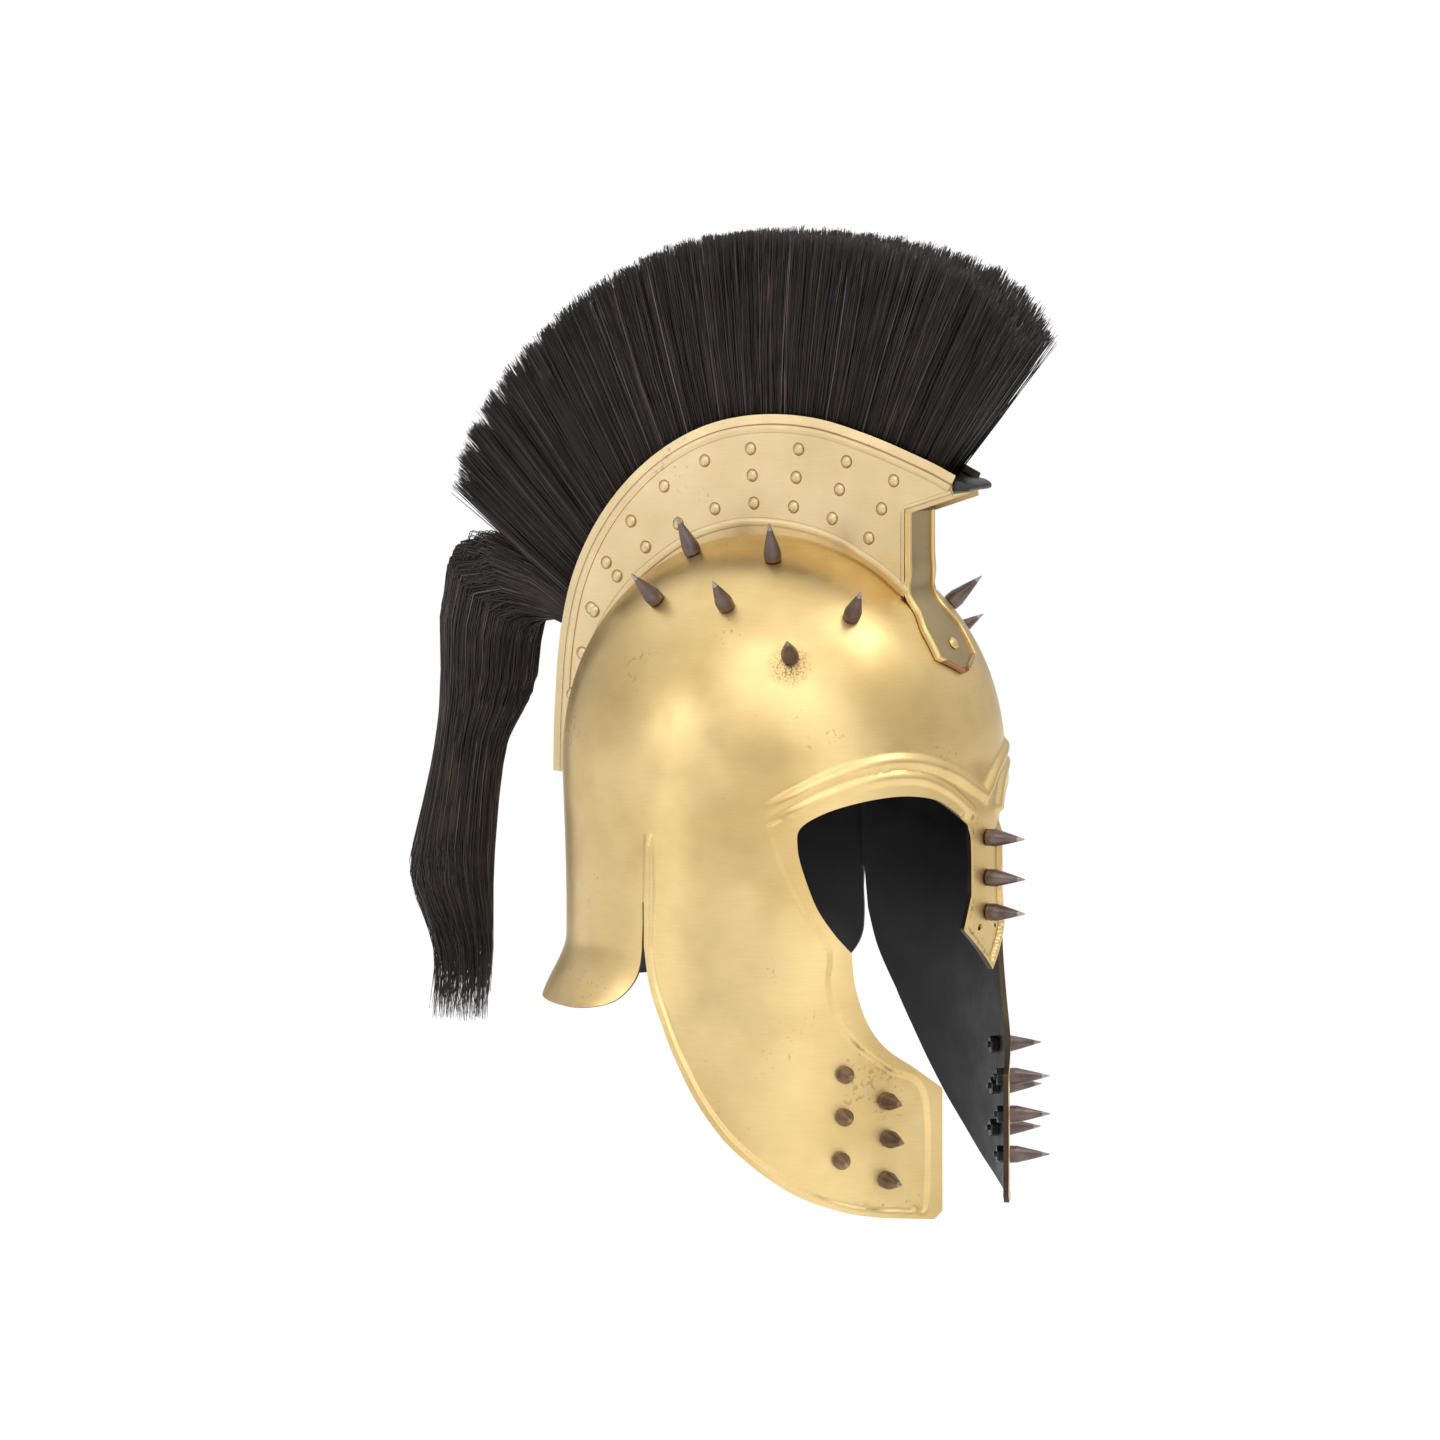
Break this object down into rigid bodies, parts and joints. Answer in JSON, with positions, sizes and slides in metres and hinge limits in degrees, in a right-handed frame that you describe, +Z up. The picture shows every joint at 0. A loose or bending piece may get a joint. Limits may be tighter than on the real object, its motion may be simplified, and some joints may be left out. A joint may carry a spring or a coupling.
{
  "type": "greek helmet",
  "caption": "Crested open-faced Greek-style helmet: brass-finished sheet shell with cheek, neck and nasal guards, cone studs, riveted crest holder, hair plume and hanging tail.",
  "frame": {"origin": "highest point inside the bowl, where the crown of the head sits", "axes": "+Z up as worn; the face looks along -Y; +X is the wearer's left"},
  "size_m": [0.2186, 0.3702, 0.4844],
  "materials": {
    "brass_sheet": "brushed satin",
    "dark_bronze": "satin dark bronze",
    "black_hair": "coarse natural hair"
  },
  "bodies": {
    "root": {"helmet_shell": "brass_sheet", "crest_holder": "brass_sheet", "front_strap": "brass_sheet", "crest_plume": "black_hair", "plume_tail": "black_hair", "front_rivet": "brass_sheet", "rear_rivet": "brass_sheet", "stud_right_crown_rear": "dark_bronze", "stud_right_crown_front": "dark_bronze", "stud_right_side_rear": "dark_bronze", "stud_right_side_mid": "dark_bronze", "stud_right_side_front": "dark_bronze", "stud_right_side_low": "dark_bronze", "stud_right_cheek_rear_top": "dark_bronze", "stud_right_cheek_rear_mid": "dark_bronze", "stud_right_cheek_rear_low": "dark_bronze", "stud_right_cheek_front_top": "dark_bronze", "stud_right_cheek_front_mid": "dark_bronze", "stud_right_cheek_front_low": "dark_bronze", "stud_left_crown_rear": "dark_bronze", "stud_left_crown_front": "dark_bronze", "stud_left_side_rear": "dark_bronze", "stud_left_side_mid": "dark_bronze", "stud_left_side_front": "dark_bronze", "stud_left_side_low": "dark_bronze", "stud_left_cheek_rear_top": "dark_bronze", "stud_left_cheek_rear_mid": "dark_bronze", "stud_left_cheek_rear_low": "dark_bronze", "stud_left_cheek_front_top": "dark_bronze", "stud_left_cheek_front_mid": "dark_bronze", "stud_left_cheek_front_low": "dark_bronze", "stud_nasal_1": "dark_bronze", "stud_nasal_2": "dark_bronze", "stud_nasal_3": "dark_bronze"}
  },
  "joints": []
}
